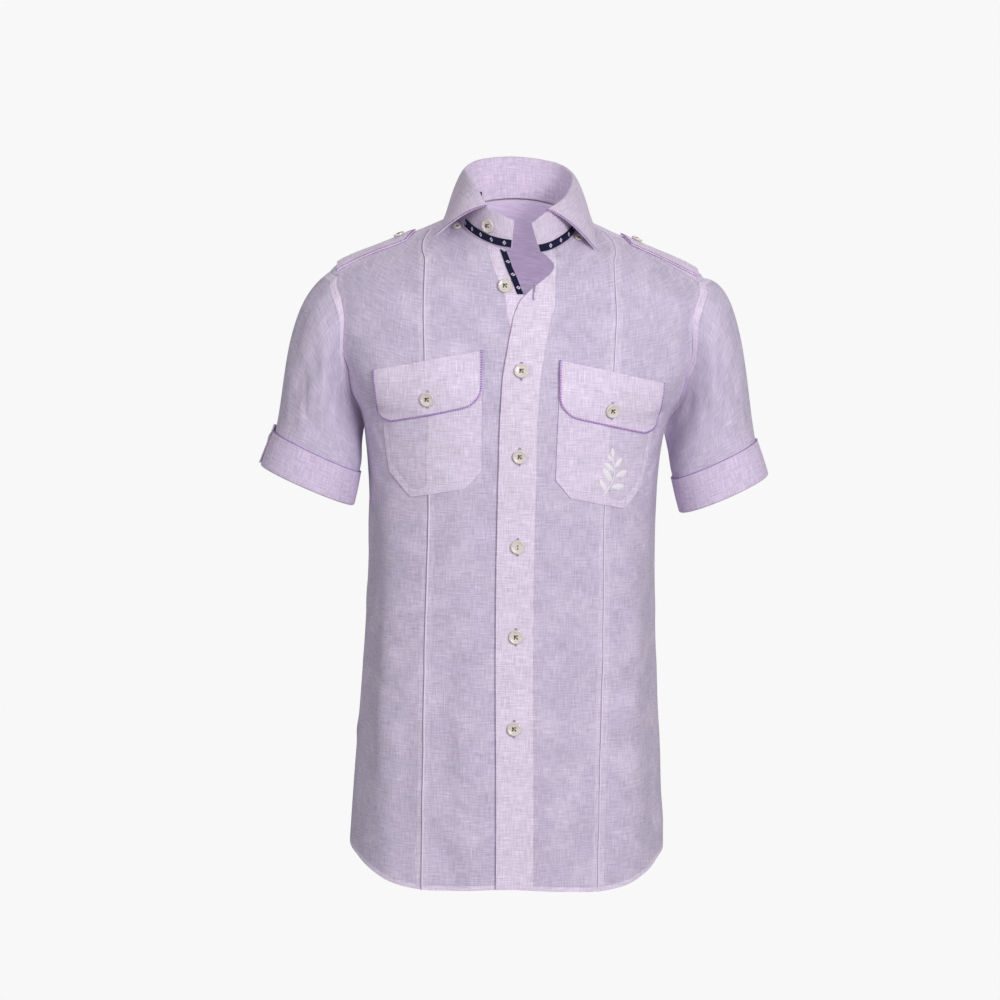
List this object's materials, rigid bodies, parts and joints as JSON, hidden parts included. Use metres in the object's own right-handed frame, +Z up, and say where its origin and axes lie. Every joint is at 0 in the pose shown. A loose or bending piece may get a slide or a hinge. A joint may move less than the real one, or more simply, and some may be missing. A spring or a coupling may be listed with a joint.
{
  "type": "short-sleeve utility shirt",
  "caption": "Short-sleeve linen utility shirt, filled out as worn, with a stand collar and fall, flapped patch pockets, shoulder straps, turned-up sleeve ends and pearl buttons",
  "frame": {"origin": "middle of the neck hole at the height of the shoulder points, where the wearer's shoulders carry the shirt", "axes": "+X is the wearer's left, -Y is the front, +Z is up"},
  "size_m": [0.5834, 0.2477, 0.8385],
  "materials": {
    "linen": "matte, plain weave, one layer",
    "linen_double": "matte, plain weave, two layers",
    "tape": "matte ribbed tape",
    "shell_button": "polished mother of pearl look"
  },
  "bodies": {
    "root": {"front_left_centre": "linen", "front_left_side": "linen", "front_right_centre": "linen", "front_right_side": "linen", "back": "linen", "sleeve_left": "linen", "sleeve_right": "linen", "yoke": "linen_double", "cuff_left": "linen_double", "cuff_right": "linen_double", "sleeve_tab_left": "linen_double", "sleeve_tab_right": "linen_double", "pocket_left": "linen_double", "pocket_right": "linen_double", "flap_left": "linen_double", "flap_right": "linen_double", "shoulder_strap_left": "linen_double", "shoulder_strap_right": "linen_double", "collar_stand": "linen_double", "collar_fall": "linen_double", "stand_tape_left": "tape", "stand_tape_right": "tape", "front_edge_tape": "tape", "size_tab": "tape", "stand_button": "shell_button", "collar_button_left": "shell_button", "collar_button_right": "shell_button", "flap_button_left": "shell_button", "flap_button_right": "shell_button", "strap_button_left": "shell_button", "strap_button_right": "shell_button", "tab_button_left": "shell_button", "tab_button_right": "shell_button", "front_button_1": "shell_button", "front_button_2": "shell_button", "front_button_3": "shell_button", "front_button_4": "shell_button", "front_button_5": "shell_button", "front_button_6": "shell_button"}
  },
  "joints": []
}
